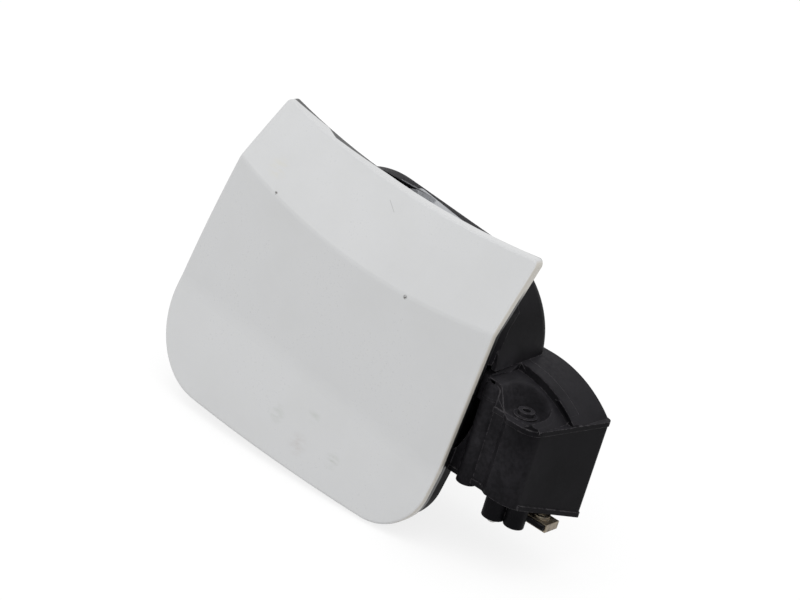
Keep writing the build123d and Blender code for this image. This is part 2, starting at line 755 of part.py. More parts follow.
# Rubber block that stops the arm at full opening
with BuildPart() as open_stop:
    with BuildSketch(Plane.XZ.offset(-NECK_FRONT - WALL)):
        with Locations((PIN_X - BARREL_R - STOP_W, ARM_MID)):
            RectangleRounded(STOP_W, STOP_H, STOP_W / 4)
    extrude(amount=-(PIN_Y - ARM_WEB / 2 - STOP_GAP - NECK_FRONT - WALL))
open_stop.part.label = "open_stop"
export_step(open_stop.part, "parts/open_stop.step")

# Carrier with gooseneck
with BuildSketch(Plane.XZ) as tray_plan:
    with Locations((TRAY_X, TRAY_Z)):
        RectangleRounded(TRAY_W, TRAY_H, TRAY_R)
    with Locations(((TRAY_X + ARM_X + ARM_RIB / 2) / 2, ARM_MID)):
        Rectangle(ARM_X + ARM_RIB / 2 - TRAY_X, ARM_H)

with BuildPart() as tray_void:
    with BuildSketch(Plane.XZ):
        add(tray_plan.sketch_local)
        offset(amount=-TRAY, mode=Mode.REPLACE)
    extrude(amount=REACH, both=True)
    add(behind(TRAY_BACK), mode=Mode.INTERSECT)

with BuildPart() as tray_ribs:
    with BuildSketch(Plane.XZ):
        for rib_x in RIB_COLUMNS:
            with Locations((rib_x, TRAY_Z)):
                Rectangle(TRAY_RIB_T, TRAY_H - TRAY_R / 2)
        with Locations(((RIB_COLUMNS[0] + RIB_COLUMNS[-1]) / 2, RIB_ROW)):
            Rectangle(RIB_COLUMNS[-1] - RIB_COLUMNS[0], TRAY_RIB_T)
    extrude(amount=REACH, both=True)
    add(behind(TRAY_FRONT), mode=Mode.INTERSECT)
    add(behind(TRAY_BACK + TRAY_RIB), mode=Mode.SUBTRACT)

with BuildPart() as gooseneck:
    with BuildSketch(Plane.XY.offset(ARM_LOW)):
        with BuildLine():
            neck_line = FilletPolyline(
                (PIN_X, PIN_Y),
                (PIN_X, PIN_Y + ARM_DEPTH),
                (ARM_X, PIN_Y + ARM_DEPTH),
                (ARM_X, PANEL_Y),
                radius=ARM_BEND,
            )
        trace(neck_line, line_width=ARM_WEB)
    extrude(amount=ARM_H)
    with BuildSketch(Plane.XY.offset(ARM_LOW), Plane.XY.offset(ARM_HIGH - ARM_RIB_T)):
        trace(neck_line, line_width=ARM_RIB)
    extrude(amount=ARM_RIB_T)
    add(behind(TRAY_FRONT), mode=Mode.INTERSECT)

with BuildPart() as hinge_arm:
    extrude(tray_plan.sketch, amount=REACH, both=True)
    add(behind(TRAY_FRONT), mode=Mode.INTERSECT)
    add(behind(TRAY_FRONT + TRAY_RIM), mode=Mode.SUBTRACT)
    add(tray_void.part, mode=Mode.SUBTRACT)
    add(tray_ribs.part)
    add(gooseneck.part)
    with BuildSketch(Plane.XY.offset(ARM_LOW)):
        with Locations((PIN_X, PIN_Y)):
            Circle(BARREL_R)
    extrude(amount=ARM_H)
    with BuildSketch(Plane.XY.offset(ARM_LOW)):
        with Locations((PIN_X, PIN_Y)):
            Circle(BUSH_R)
    extrude(amount=ARM_H, mode=Mode.SUBTRACT)
    # Pads for washers, striker and cap holder
    for x, z in STUD_PLACES:
        with BuildSketch(Plane.XZ.offset(-panel_y(x, z) - PAD_FACE)):
            with Locations((x, z)):
                Circle(PAD_R)
        extrude(amount=PAD_H + TRAY / 2)
    with BuildSketch(Plane.XZ.offset(-STRIKER_FACE)):
        with Locations((STRIKER_X - STRIKER_T / 2 + FOOT_L / 2, LOCK_Z)):
            Rectangle(FOOT_L, STRIKER_W)
    extrude(amount=PAD_H + TRAY / 2)
    with BuildSketch(Plane.XZ.offset(-HOOK_FACE)):
        with Locations((HOOK_X, HOOK_Z + FOOT_L / 2 - HOOK_T / 2)):
            Rectangle(HOOK_W, FOOT_L)
    extrude(amount=PAD_H + TRAY / 2)
    with BuildSketch(Plane.XZ):
        with Locations(*STUD_PLACES):
            Circle(STUD_R)
    extrude(amount=REACH, mode=Mode.SUBTRACT)
    with BuildSketch(Plane.XZ):
        with Locations(*STRIKER_SCREWS, *HOOK_SCREWS):
            Circle(SCREW_R)
    extrude(amount=REACH, mode=Mode.SUBTRACT)
hinge_arm.part.label = "hinge_arm"
export_step(hinge_arm.part, "parts/hinge_arm.step")

# Push-on washers on the pins of the skin
with BuildPart() as skin_retainers:
    for x, z in STUD_PLACES:
        with BuildSketch(Plane.XZ.offset(-panel_y(x, z) - PAD_FACE)):
            with Locations((x, z)):
                Circle(WASHER_R)
                Circle(STUD_R, mode=Mode.SUBTRACT)
        extrude(amount=-WASHER_T)
skin_retainers.part.label = "skin_retainers"
export_step(skin_retainers.part, "parts/skin_retainers.step")

# Plain bushes in the knuckles
with BuildPart() as hinge_bushes:
    with BuildSketch(Plane.XY.offset(ARM_LOW), Plane.XY.offset(ARM_HIGH - BUSH_L)):
        with Locations((PIN_X, PIN_Y)):
            Circle(BUSH_R)
            Circle(PIN_R + RUN_FIT, mode=Mode.SUBTRACT)
    extrude(amount=BUSH_L)
hinge_bushes.part.label = "hinge_bushes"
export_step(hinge_bushes.part, "parts/hinge_bushes.step")

# Eye for the lock bolt
with BuildPart() as lock_striker:
    with BuildSketch(Plane.XZ.offset(-STRIKER_FACE)):
        with Locations((STRIKER_X - STRIKER_T / 2 + FOOT_L / 2, LOCK_Z)):
            Rectangle(FOOT_L, STRIKER_W)
    extrude(amount=-FOOT_T)
    with BuildSketch(Plane.YZ.offset(STRIKER_X)) as eye_plate:
        with Locations(((STRIKER_FACE + LOCK_Y + LOCK_R + EYE_MARGIN) / 2, LOCK_Z)):
            Rectangle(LOCK_Y + LOCK_R + EYE_MARGIN - STRIKER_FACE, STRIKER_W)
        fillet(eye_plate.vertices().group_by(Axis.X)[-1], radius=EYE_MARGIN)
        with Locations((LOCK_Y, LOCK_Z)):
            Circle(LOCK_R + EYE_PLAY, mode=Mode.SUBTRACT)
    extrude(amount=STRIKER_T / 2, both=True)
    with BuildSketch(Plane.XZ.offset(-STRIKER_FACE)):
        with Locations(*STRIKER_SCREWS):
            Circle(SCREW_R)
    extrude(amount=-FOOT_T, mode=Mode.SUBTRACT)
lock_striker.part.label = "lock_striker"
export_step(lock_striker.part, "parts/lock_striker.step")

# Hook for the fuel cap
with BuildPart() as cap_holder:
    with BuildSketch(Plane.XZ.offset(-HOOK_FACE)):
        with Locations((HOOK_X, HOOK_Z + FOOT_L / 2 - HOOK_T / 2)):
            Rectangle(HOOK_W, FOOT_L)
    extrude(amount=-FOOT_T)
    with BuildSketch(Plane.YZ.offset(HOOK_X)) as hook_profile:
        with BuildLine():
            Polyline(
                (HOOK_FACE, HOOK_Z - HOOK_T / 2),
                (HOOK_FACE + HOOK_REACH + HOOK_T, HOOK_Z - HOOK_T / 2),
                (HOOK_FACE + HOOK_REACH + HOOK_T, HOOK_Z + HOOK_RISE),
                (HOOK_FACE + HOOK_REACH, HOOK_Z + HOOK_RISE),
                (HOOK_FACE + HOOK_REACH, HOOK_Z + HOOK_T / 2),
                (HOOK_FACE, HOOK_Z + HOOK_T / 2),
                close=True,
            )
        make_face()
        fillet(hook_profile.vertices().group_by(Axis.X)[-1].sort_by(Axis.Y)[0], radius=HOOK_T)
    extrude(amount=HOOK_W / 2, both=True)
    with BuildSketch(Plane.XZ.offset(-HOOK_FACE)):
        with Locations(*HOOK_SCREWS):
            Circle(SCREW_R)
    extrude(amount=-FOOT_T, mode=Mode.SUBTRACT)
cap_holder.part.label = "cap_holder"
export_step(cap_holder.part, "parts/cap_holder.step")

# Screws of the striker
with BuildPart() as striker_screws:
    with BuildSketch(Plane.XZ.offset(-STRIKER_FACE - FOOT_T)):
        with Locations(*STRIKER_SCREWS):
            Circle(SCREW_HEAD_R)
    extrude(amount=-SCREW_HEAD)
    with BuildSketch(Plane.XZ.offset(-STRIKER_FACE - FOOT_T)):
        with Locations(*STRIKER_SCREWS):
            Circle(SCREW_R)
    extrude(amount=FOOT_T + PAD_H + TRAY / 2)
striker_screws.part.label = "striker_screws"
export_step(striker_screws.part, "parts/striker_screws.step")

# Screws of the cap holder
with BuildPart() as holder_screws:
    with BuildSketch(Plane.XZ.offset(-HOOK_FACE - FOOT_T)):
        with Locations(*HOOK_SCREWS):
            Circle(SCREW_HEAD_R)
    extrude(amount=-SCREW_HEAD)
    with BuildSketch(Plane.XZ.offset(-HOOK_FACE - FOOT_T)):
        with Locations(*HOOK_SCREWS):
            Circle(SCREW_R)
    extrude(amount=FOOT_T + PAD_H + TRAY / 2)
holder_screws.part.label = "holder_screws"
export_step(holder_screws.part, "parts/holder_screws.step")

# Leaf spring between the pocket wall and the knuckle
with BuildPart() as hinge_spring:
    with BuildSketch(Plane.XY.offset(ARM_MID - LEAF_W / 2)):
        with BuildLine():
            leaf_x = PIN_X + BARREL_R + LEAF_GAP + LEAF_T / 2
            leaf_line = FilletPolyline(
                (leaf_x, PIN_Y + LEAF_START),
                (leaf_x, PIN_Y + LEAF_KNEE),
                (pocket_wall(PIN_Y + LEAF_REST) - LEAF_STAND, PIN_Y + LEAF_REST),
                (pocket_wall(PIN_Y + LEAF_END) - LEAF_STAND, PIN_Y + LEAF_END),
                radius=LEAF_BEND,
            )
        trace(leaf_line, line_width=LEAF_T)
    extrude(amount=LEAF_W)
hinge_spring.part.label = "hinge_spring"
export_step(hinge_spring.part, "parts/hinge_spring.step")
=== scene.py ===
from math import cos, hypot, radians, sin, sqrt

import bmesh
import bpy
from mathutils import Matrix, Vector


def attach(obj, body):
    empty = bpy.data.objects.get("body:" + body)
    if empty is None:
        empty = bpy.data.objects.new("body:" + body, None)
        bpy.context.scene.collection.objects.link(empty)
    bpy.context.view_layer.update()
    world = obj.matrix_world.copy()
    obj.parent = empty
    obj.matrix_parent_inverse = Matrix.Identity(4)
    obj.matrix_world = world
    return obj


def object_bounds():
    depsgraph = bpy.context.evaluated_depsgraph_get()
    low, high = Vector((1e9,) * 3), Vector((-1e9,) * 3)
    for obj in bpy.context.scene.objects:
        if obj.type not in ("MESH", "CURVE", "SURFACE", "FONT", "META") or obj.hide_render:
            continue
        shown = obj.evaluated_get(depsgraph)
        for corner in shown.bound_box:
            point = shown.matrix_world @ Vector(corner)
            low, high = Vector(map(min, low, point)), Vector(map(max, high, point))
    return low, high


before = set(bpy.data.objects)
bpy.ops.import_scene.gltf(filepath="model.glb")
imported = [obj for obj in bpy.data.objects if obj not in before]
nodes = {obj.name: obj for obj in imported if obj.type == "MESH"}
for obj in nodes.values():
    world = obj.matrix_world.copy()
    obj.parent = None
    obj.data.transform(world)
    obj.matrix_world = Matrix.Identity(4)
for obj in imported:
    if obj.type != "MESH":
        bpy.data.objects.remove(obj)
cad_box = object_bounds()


# Filler housing: one black polypropylene moulding with the pot, the flange and the hinge box.
# It is satin from the tool and scuffed grey where it was handled, and its edges and corners are tinted pale,
# partly as rubbed wear and partly as a painted highlight.
# Two screws hold it in the body side, and everything else hangs on it.
BLACK_DEEP = (0.0036, 0.0034, 0.0042)
BLACK_SCUFFED = (0.010, 0.0095, 0.011)
BLACK_DUSTED = (0.020, 0.019, 0.022)
# Pale edge colour: partly rubbed wear, partly a painted highlight.
BLACK_EDGE_WEAR_AND_HIGHLIGHT = (0.17, 0.16, 0.17)
BLACK_HANDLED = (0.042, 0.040, 0.045)
BLACK_ROUGH, BLACK_SPECULAR = 0.46, 0.04
HANDLED = (
    ((0.087, -0.036, 0.001), 0.022, 0.95),
    ((0.0805, -0.0465, -0.024), 0.024, 0.65),
    ((0.103, -0.047, -0.030), 0.022, 0.30),
)
# A chip at the front edge near the pin boss, tinted pale: partly a real chip, partly a painted highlight.
CHIP_AND_HIGHLIGHT_AT, CHIP_AND_HIGHLIGHT_REACH, CHIP_AND_HIGHLIGHT_EDGE = (0.0905, -0.0445, -0.002), 0.012, (0.01, 0.06)
MOULD_EDGE = 0.0007
CLOUD_GRAIN, FINE_GRAIN, TOOL_GRAIN = 38, 520, 2600
STREAK_GRAIN = (60, 60, 900)
WORN_CLOUDS, WORN_FINE = (0.46, 0.66), (0.38, 0.62, 0.35, 1.0)
SCRAPED_STREAKS, SCRAPED_CLOUDS = (0.60, 0.70), (0.50, 0.60)
WEAR_AND_HIGHLIGHT_EDGE, WEAR_AND_HIGHLIGHT_FINE, WEAR_AND_HIGHLIGHT_SHARE = (0.03, 0.16), (0.44, 0.60, 0.15, 1.0), 0.55
DUST_FACING, DUST_CLOUDS = (0.5, 0.9), (0.36, 0.58, 0.55, 1.0)
SMEARED_CLOUDS, SMEARED_FINE = (0.34, 0.6, 0.35, 1.0), (0.36, 0.6, 0.5, 1.0)
ROUGH_LESS, ROUGH_MORE, ROUGH_FINE, ROUGH_WORN = 0.06, 0.05, (0.3, 0.7), 0.12
TOOL_BUMP, TOOL_DEPTH = 0.16, 0.0002
BEVEL_SAMPLES = 6


def wire(tree, kind, inputs, **settings):
    made = tree.nodes.new("ShaderNode" + kind)
    for key, value in settings.items():
        setattr(made, key, value)
    for key, value in inputs.items():
        if isinstance(value, bpy.types.NodeSocket):
            tree.links.new(value, made.inputs[key])
        else:
            made.inputs[key].default_value = value
    return made


def new_finish(name, specular, coat=0.0, coat_roughness=0.03):
    material = bpy.data.materials.new(name)
    material.use_nodes = True
    tree = material.node_tree
    shader = tree.nodes["Principled BSDF"]
    shader.inputs["Specular IOR Level"].default_value = specular
    shader.inputs["Coat Weight"].default_value = coat
    shader.inputs["Coat Roughness"].default_value = coat_roughness
    return material, tree, shader


def object_place(tree):
    return wire(tree, "TexCoord", {}).outputs["Object"]


def facing(tree, axis):
    normal = wire(tree, "TexCoord", {}).outputs["Normal"]
    return wire(tree, "SeparateXYZ", {0: normal}).outputs[axis]


def noise(tree, place, scale, detail=3.0, rough=0.55):
    inputs = {"Vector": place, "Scale": scale, "Detail": detail, "Roughness": rough}
    return wire(tree, "TexNoise", inputs).outputs[0]


def span(tree, value, low, high, to_low=0.0, to_high=1.0):
    ends = {"From Min": low, "From Max": high, "To Min": to_low, "To Max": to_high}
    return wire(tree, "MapRange", {"Value": value, **ends}).outputs[0]


def calc(tree, operation, a, b):
    return wire(tree, "Math", {0: a, 1: b}, operation=operation).outputs[0]


def times(tree, a, b):
    return calc(tree, "MULTIPLY", a, b)


def tint(tree, share, a, b):
    ends = [(*c, 1.0) if isinstance(c, tuple) else c for c in (a, b)]
    return wire(tree, "Mix", {0: share, 6: ends[0], 7: ends[1]}, data_type="RGBA").outputs[2]


def stretched(tree, place, scale):
    return wire(tree, "Mapping", {"Vector": place, "Scale": scale}).outputs[0]


def rounded_edge(tree, radius):
    soft = wire(tree, "Bevel", {"Radius": radius}, samples=BEVEL_SAMPLES).outputs[0]
    flat = wire(tree, "NewGeometry", {}).outputs["Normal"]
    alike = wire(tree, "VectorMath", {0: soft, 1: flat}, operation="DOT_PRODUCT").outputs["Value"]
    return soft, calc(tree, "SUBTRACT", 1.0, alike)


def apart(tree, place, point):
    return wire(tree, "VectorMath", {0: place, 1: point}, operation="DISTANCE").outputs["Value"]


def surface(tree, shader, colour, rough, height, bump, depth, soft=None):
    relief = {"Strength": bump, "Distance": depth, "Height": height}
    if soft is not None:
        relief["Normal"] = soft
    tree.links.new(colour, shader.inputs["Base Color"])
    tree.links.new(rough, shader.inputs["Roughness"])
    tree.links.new(wire(tree, "Bump", relief).outputs[0], shader.inputs["Normal"])


def moulded(name, deep, scuffed, dusted, edge_wear_and_highlight, rough, specular, handling=()):
    material, tree, shader = new_finish(name, specular)
    place = object_place(tree)
    soft, edge = rounded_edge(tree, MOULD_EDGE)
    clouds = noise(tree, place, CLOUD_GRAIN, 5, 0.62)
    fine = noise(tree, place, FINE_GRAIN, 4, 0.6)
    streaks = noise(tree, stretched(tree, place, STREAK_GRAIN), 1.0, 4, 0.65)
    worn = times(tree, span(tree, clouds, *WORN_CLOUDS), span(tree, fine, *WORN_FINE))
    scraped = times(tree, span(tree, streaks, *SCRAPED_STREAKS), span(tree, clouds, *SCRAPED_CLOUDS))
    wear = calc(tree, "MAXIMUM", worn, scraped)
    # Edges are tinted pale: partly rubbed wear, partly a painted highlight along the rounded edges.
    worn_and_highlit_edges = times(tree, span(tree, edge, *WEAR_AND_HIGHLIGHT_EDGE), span(tree, fine, *WEAR_AND_HIGHLIGHT_FINE))
    upward = span(tree, facing(tree, "Z"), *DUST_FACING)
    settled = times(tree, upward, span(tree, clouds, *DUST_CLOUDS))
    colour = tint(tree, wear, deep, scuffed)
    colour = tint(tree, settled, colour, dusted)
    for centre, reach, strength in handling:
        near = span(tree, apart(tree, place, centre), reach, 0.0, 0.0, strength)
        smeared = times(tree, near, span(tree, clouds, *SMEARED_CLOUDS))
        smeared = times(tree, smeared, span(tree, fine, *SMEARED_FINE))
        colour = tint(tree, smeared, colour, BLACK_HANDLED)
    if handling:
        # The chip near the pin boss is tinted pale as well: partly a real chip, partly a painted highlight.
        near = span(tree, apart(tree, place, CHIP_AND_HIGHLIGHT_AT), CHIP_AND_HIGHLIGHT_REACH, 0.0)
        chip_and_highlight = times(tree, near, span(tree, edge, *CHIP_AND_HIGHLIGHT_EDGE))
        worn_and_highlit_edges = calc(tree, "MAXIMUM", worn_and_highlit_edges, chip_and_highlight)
    colour = tint(tree, times(tree, worn_and_highlit_edges, WEAR_AND_HIGHLIGHT_SHARE), colour, edge_wear_and_highlight)
    dull = span(tree, fine, *ROUGH_FINE, rough - ROUGH_LESS, rough + ROUGH_MORE)
    dull = calc(tree, "ADD", dull, times(tree, wear, ROUGH_WORN))
    grain = noise(tree, place, TOOL_GRAIN, 2)
    surface(tree, shader, colour, dull, grain, TOOL_BUMP, TOOL_DEPTH, soft)
    return material


def dress(material, *names):
    for name in names:
        nodes[name].data.materials.clear()
        nodes[name].data.materials.append(material)


black_plastic = moulded(
    "black_plastic", BLACK_DEEP, BLACK_SCUFFED, BLACK_DUSTED, BLACK_EDGE_WEAR_AND_HIGHLIGHT, BLACK_ROUGH, BLACK_SPECULAR, HANDLED
)
dress(black_plastic, "housing")


# Crown of the hinge box: the skin of the same black polypropylene moulding over the hinge.
# It steps down from the band along the back, dips round the pin boss, and ends in a block,
# a shelf and a rounded corner beside the flap, all fused to the housing.
CROWN_LEFT, CROWN_RIGHT = 0.0774, 0.1110
CROWN_FRONT, CROWN_BACK = -0.0439, -0.0145
CROWN_RUNS, CROWN_ROWS = 48, 60
CROWN_SKIRT, CROWN_WALL = -0.0070, 0.001
CROWN_PROUD = 0.00008
BAND_START, BAND_TOP, BAND_RADIUS = 0.0760, 0.0090, 0.05875
BAND_FOOT, BAND_SOFT, BAND_STEP = -0.0224, 0.0012, 0.0035
BOSS_X, BOSS_Y, BOSS_FLAT = 0.0970, -0.0370, -0.00595
DIP_INNER, DIP_OUTER = 0.0060, 0.0130
CORNER_BOX = ((0.0736, -0.0439, -0.0070), (0.0815, -0.0416, 0.0054))
SHELF_BOX = ((0.0710, -0.0422, 0.0034), (0.0790, -0.0325, 0.0054))
BOX_ROUND = 0.0005
ROLL_PLACE, ROLL_R, ROLL_ROUND = (0.0805, -0.0415), 0.0050, 0.0022
ROLL_TOP, ROLL_LOW, ROLL_SIDES = 0.0036, -0.0040, 48
SHARP_FROM = radians(38)


def eased(value):
    value = min(max(value, 0.0), 1.0)
    return value * value * (3 - 2 * value)


def crown_height(x, y):
    run = max(x - BAND_START, 0.0)
    plateau = BAND_TOP - BAND_STEP - BAND_RADIUS + sqrt(BAND_RADIUS**2 - run**2)
    step = BAND_STEP * eased((y - BAND_FOOT) / BAND_SOFT)
    reach = abs(x - BOSS_X) if y < BOSS_Y else hypot(x - BOSS_X, y - BOSS_Y)
    share = eased((reach - DIP_INNER) / (DIP_OUTER - DIP_INNER))
    return BOSS_FLAT + share * (plateau + step - BOSS_FLAT) + CROWN_PROUD


def only_verts(geometry):
    return [made for made in geometry if isinstance(made, bmesh.types.BMVert)]


def edges_of(verts):
    return list(dict.fromkeys(edge for vert in verts for edge in vert.link_edges))


def round_off(shape, edges, radius, segments):
    bmesh.ops.bevel(
        shape, geom=edges, offset=radius, affect="EDGES", segments=segments, profile=0.5, material=-1
    )


def keep_piece(name, shape, material, body):
    mesh = bpy.data.meshes.new(name)
    for face in shape.faces:
        face.smooth = True
    shape.to_mesh(mesh)
    shape.free()
    mesh.set_sharp_from_angle(angle=SHARP_FROM)
    mesh.materials.append(material)
    piece = bpy.data.objects.new(name, mesh)
    bpy.context.collection.objects.link(piece)
    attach(piece, body)


crown = bmesh.new()
bmesh.ops.create_grid(crown, x_segments=CROWN_RUNS, y_segments=CROWN_ROWS, size=0.5)
crown_size = Vector((CROWN_RIGHT - CROWN_LEFT, CROWN_BACK - CROWN_FRONT, 1))
crown_middle = Vector(((CROWN_LEFT + CROWN_RIGHT) / 2, (CROWN_FRONT + CROWN_BACK) / 2, 0))
bmesh.ops.scale(crown, vec=crown_size, verts=crown.verts)
bmesh.ops.translate(crown, vec=crown_middle, verts=crown.verts)
for vert in crown.verts:
    vert.co.z = crown_height(vert.co.x, vert.co.y)
front = min(vert.co.y for vert in crown.verts) + CROWN_PROUD
front_edges = [edge for edge in crown.edges if all(end.co.y < front for end in edge.verts)]
skirt = bmesh.ops.extrude_edge_only(crown, edges=front_edges)["geom"]
for vert in only_verts(skirt):
    vert.co.z = CROWN_SKIRT
bmesh.ops.recalc_face_normals(crown, faces=crown.faces)
bmesh.ops.solidify(crown, geom=crown.faces[:], thickness=CROWN_WALL)

for ends in (CORNER_BOX, SHELF_BOX):
    box_low, box_high = (Vector(end) for end in ends)
    box = bmesh.ops.create_cube(crown, size=1)["verts"]
    bmesh.ops.scale(crown, vec=box_high - box_low, verts=box)
    bmesh.ops.translate(crown, vec=(box_low + box_high) / 2, verts=box)
    round_off(crown, edges_of(box), BOX_ROUND, 3)

roll = bmesh.ops.create_cone(
    crown, cap_ends=True, segments=ROLL_SIDES, radius1=ROLL_R, radius2=ROLL_R, depth=ROLL_TOP - ROLL_LOW
)["verts"]
bmesh.ops.translate(crown, vec=(*ROLL_PLACE, (ROLL_TOP + ROLL_LOW) / 2), verts=roll)
roll_rim = [edge for edge in edges_of(roll) if all(end.co.z > ROLL_TOP - CROWN_PROUD for end in edge.verts)]
round_off(crown, roll_rim, ROLL_ROUND, 5)
keep_piece("box_crown", crown, black_plastic, "housing")


# Plate on top of the pot: a thin pale plastic plate with nothing on it, beside the upper lug.
# It is cut with rounded corners, folded over the lug's front, side and ramp, and glued down.
# Its face is a little scuffed.
PLATE_OUTLINE = (
    (-0.0125, -0.0106), (-0.0004, -0.0106), (-0.0004, -0.0270),
    (0.0255, -0.0270), (0.0255, -0.0112), (-0.0125, -0.0060),
)
TONGUE_OUTLINE = ((-0.0125, -0.0256), (-0.0012, -0.0256), (-0.0012, -0.0112), (-0.0125, -0.0112))
APRON_OUTLINE = ((-0.0140, 0.0548), (-0.0004, 0.0534), (-0.0004, 0.0616), (-0.0140, 0.0574))
CHEEK_OUTLINE = ((-0.0262, 0.0534), (-0.0100, 0.0520), (-0.0100, 0.0546), (-0.0262, 0.0614))
LUG_FRONT, LUG_SIDE = -0.02605, -0.00095
LUG_FOOT, LUG_SLOPE = 0.0499, 0.45
POT_TOP_HEIGHT, POT_TOP_FALL, POT_TOP_DRAFT = 0.05244, 0.1051, 0.0699
PLATE_THICK, PLATE_CORNER = 0.0005, 0.0012
PLATE_PALE = (0.37, 0.38, 0.40)
PLATE_SCUFFED = (0.29, 0.30, 0.31)
PLATE_SPECULAR, PLATE_ROUGH = 0.4, (0.36, 0.55)
PLATE_STREAKS, PLATE_WORN = (90, 420, 90), (0.5, 0.68)
PLATE_GRAIN, PLATE_BUMP, PLATE_DEPTH = 1800, 0.08, 0.0001

pale_plate, plate_tree, plate_shader = new_finish("pale_plate", PLATE_SPECULAR)
plate_place = object_place(plate_tree)
plate_streaks = noise(plate_tree, stretched(plate_tree, plate_place, PLATE_STREAKS), 1.0, 5, 0.65)
plate_scuffs = span(plate_tree, plate_streaks, *PLATE_WORN)
plate_colour = tint(plate_tree, plate_scuffs, PLATE_PALE, PLATE_SCUFFED)
plate_rough = span(plate_tree, plate_scuffs, 0, 1, *PLATE_ROUGH)
plate_grain = noise(plate_tree, plate_place, PLATE_GRAIN, 2)
surface(plate_tree, plate_shader, plate_colour, plate_rough, plate_grain, PLATE_BUMP, PLATE_DEPTH)

plate = bmesh.new()
flat = [(x, y, POT_TOP_HEIGHT - POT_TOP_FALL * x - POT_TOP_DRAFT * y) for x, y in PLATE_OUTLINE]
tongue = [(x, y, LUG_FOOT - LUG_SLOPE * y) for x, y in TONGUE_OUTLINE]
apron = [(x, LUG_FRONT, z) for x, z in APRON_OUTLINE]
cheek = [(LUG_SIDE, y, z) for y, z in CHEEK_OUTLINE]
lifted, forward, outward = (0, 0, PLATE_THICK), (0, -PLATE_THICK, 0), (PLATE_THICK, 0, 0)
plate_corners = []
for outline, rise in ((flat, lifted), (tongue, lifted), (apron, forward), (cheek, outward)):
    foot = plate.faces.new([plate.verts.new(corner) for corner in outline])
    top = only_verts(bmesh.ops.extrude_face_region(plate, geom=[foot])["geom"])
    bmesh.ops.translate(plate, vec=rise, verts=top)
    plate_corners += [edge for vert in top for edge in vert.link_edges if edge.other_vert(vert) not in top]
round_off(plate, plate_corners, PLATE_CORNER, 5)
bmesh.ops.recalc_face_normals(plate, faces=plate.faces)
keep_piece("bare_plate", plate, pale_plate, "housing")


# Rubber pieces: the seal round the filler neck, the ring of the lock guide, the two flap buffers
# and the block that stops the arm. Each is black EPDM, dull, with a grey bloom of dust,
# and each snaps or presses into its seat in the housing.
RUBBER_BLACK = (0.010, 0.010, 0.011)
RUBBER_BLOOM = (0.050, 0.048, 0.045)
RUBBER_SPECULAR, RUBBER_ROUGH, RUBBER_EDGE = 0.25, (0.62, 0.85), 0.0006
BLOOM_GRAIN, BLOOM_REACH = 160, (0.42, 0.68)
RUBBER_GRAIN, RUBBER_BUMP, RUBBER_DEPTH = 1400, 0.2, 0.0002

rubber, rubber_tree, rubber_shader = new_finish("rubber", RUBBER_SPECULAR)
rubber_place = object_place(rubber_tree)
bloom = span(rubber_tree, noise(rubber_tree, rubber_place, BLOOM_GRAIN, 5, 0.65), *BLOOM_REACH)
rubber_colour = tint(rubber_tree, bloom, RUBBER_BLACK, RUBBER_BLOOM)
rubber_rough = span(rubber_tree, bloom, 0, 1, *RUBBER_ROUGH)
skin_lines = noise(rubber_tree, rubber_place, RUBBER_GRAIN, 3)
rubber_soft, _ = rounded_edge(rubber_tree, RUBBER_EDGE)
surface(
    rubber_tree, rubber_shader, rubber_colour, rubber_rough, skin_lines, RUBBER_BUMP, RUBBER_DEPTH, rubber_soft
)
dress(rubber, "neck_seal", "lock_seal", "flap_buffers", "open_stop")


# Lock guide, hinge bushes and lock striker: grey acetal mouldings, smooth and slightly waxy.
# The guide snaps into the housing wall, the bushes press into the knuckles of the arm,
# and the striker is screwed to the carrier so that the lock bolt can pass through its eye.
GREY_ACETAL = (0.30, 0.30, 0.29)
GREY_STAINED = (0.20, 0.195, 0.18)
GREY_DUSTED = (0.27, 0.26, 0.24)
# Pale edge colour: partly rubbed wear, partly a painted highlight.
GREY_EDGE_WEAR_AND_HIGHLIGHT = (0.42, 0.42, 0.41)
GREY_ROUGH, GREY_SPECULAR = 0.36, 0.45

grey_plastic = moulded(
    "grey_plastic", GREY_ACETAL, GREY_STAINED, GREY_DUSTED, GREY_EDGE_WEAR_AND_HIGHLIGHT, GREY_ROUGH, GREY_SPECULAR
)
dress(grey_plastic, "lock_guide", "hinge_bushes", "lock_striker")


# Spring nuts: U clips of spring steel, zinc plated and yellow passivated, pushed over the tabs.
# The passivation runs from straw to pale rose, and patches are worn to dull grey.
ZINC_STRAW = (0.27, 0.23, 0.16)
ZINC_ROSE = (0.23, 0.19, 0.15)
ZINC_WORN = (0.13, 0.12, 0.11)
ZINC_SPECULAR, ZINC_METAL, ZINC_ROUGH, ZINC_EDGE = 0.5, 0.85, (0.34, 0.6), 0.0004
HUE_GRAIN, HUE_REACH = 190, (0.35, 0.65)
TARNISH_GRAIN, TARNISH_REACH = 520, (0.48, 0.66)
ZINC_GRAIN, ZINC_BUMP, ZINC_DEPTH = 2200, 0.12, 0.0001

